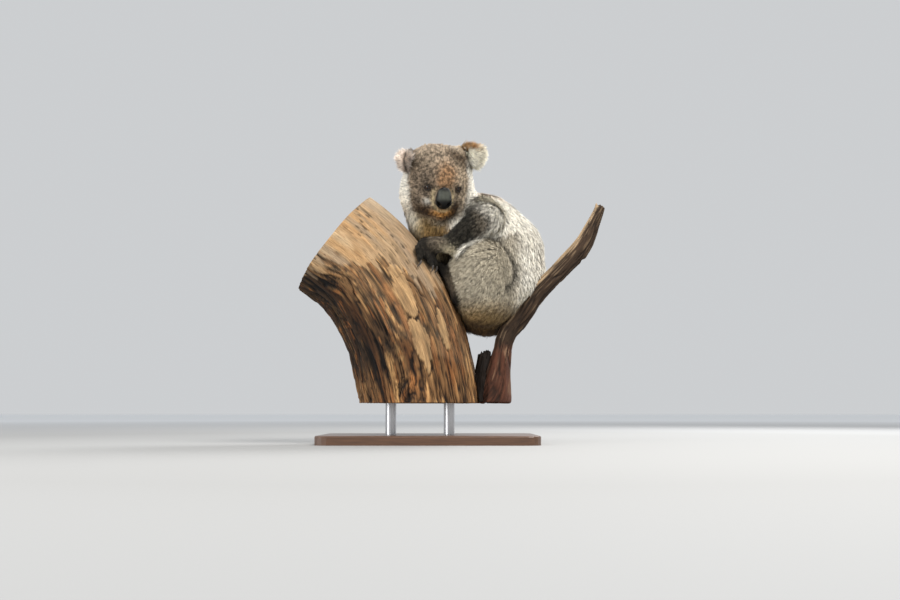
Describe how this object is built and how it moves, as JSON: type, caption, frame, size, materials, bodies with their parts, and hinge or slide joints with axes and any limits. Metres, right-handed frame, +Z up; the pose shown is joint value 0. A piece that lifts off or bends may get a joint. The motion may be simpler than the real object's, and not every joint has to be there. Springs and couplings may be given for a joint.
{
  "type": "koala",
  "caption": "Life-size still model of a koala, hunched in the fork of a cut length of eucalyptus, gripping the trunk, its head turned to its left; on a plain display stand.",
  "frame": {"origin": "middle of the model's footprint, on the underside of the stand's base", "axes": "+Z up; the koala's face looks along -Y, its body faces -X towards the trunk, and the side branch rises towards +X"},
  "size_m": [0.6898, 0.346, 0.6884],
  "materials": {
    "fur": "matt, dense grey fur with white, cream and rust markings",
    "nose_skin": "fine-grained bare skin, slightly shiny",
    "eye": "wet gloss",
    "claw_horn": "satin",
    "bark": "rough bark over weathered wood",
    "base_wood": "dark satin varnish",
    "rod_steel": "brushed"
  },
  "bodies": {
    "root": {"claw_foot_left_2": "claw_horn", "claw_foot_left_3": "claw_horn", "claw_foot_left_4": "claw_horn", "claw_foot_right_2": "claw_horn", "claw_foot_right_3": "claw_horn", "claw_foot_right_4": "claw_horn", "claw_hand_left_1": "claw_horn", "claw_hand_left_2": "claw_horn", "claw_hand_left_3": "claw_horn", "claw_hand_left_4": "claw_horn", "claw_hand_left_5": "claw_horn", "claw_hand_right_1": "claw_horn", "claw_hand_right_2": "claw_horn", "claw_hand_right_3": "claw_horn", "claw_hand_right_4": "claw_horn", "claw_hand_right_5": "claw_horn", "ear_left": "fur", "ear_right": "fur", "eye_left": "eye", "eye_right": "eye", "foot_left": "fur", "foot_right": "fur", "forearm_left": "fur", "forearm_right": "fur", "hand_left": "fur", "hand_right": "fur", "head": "fur", "neck": "fur", "nose": "nose_skin", "perch_branch": "bark", "perch_snag": "bark", "perch_stem": "bark", "perch_trunk": "bark", "shank_left": "fur", "shank_right": "fur", "stand_base": "base_wood", "stand_rod_1": "rod_steel", "stand_rod_2": "rod_steel", "thigh_left": "fur", "thigh_right": "fur", "torso": "fur", "upper_arm_left": "fur", "upper_arm_right": "fur"}
  },
  "joints": []
}
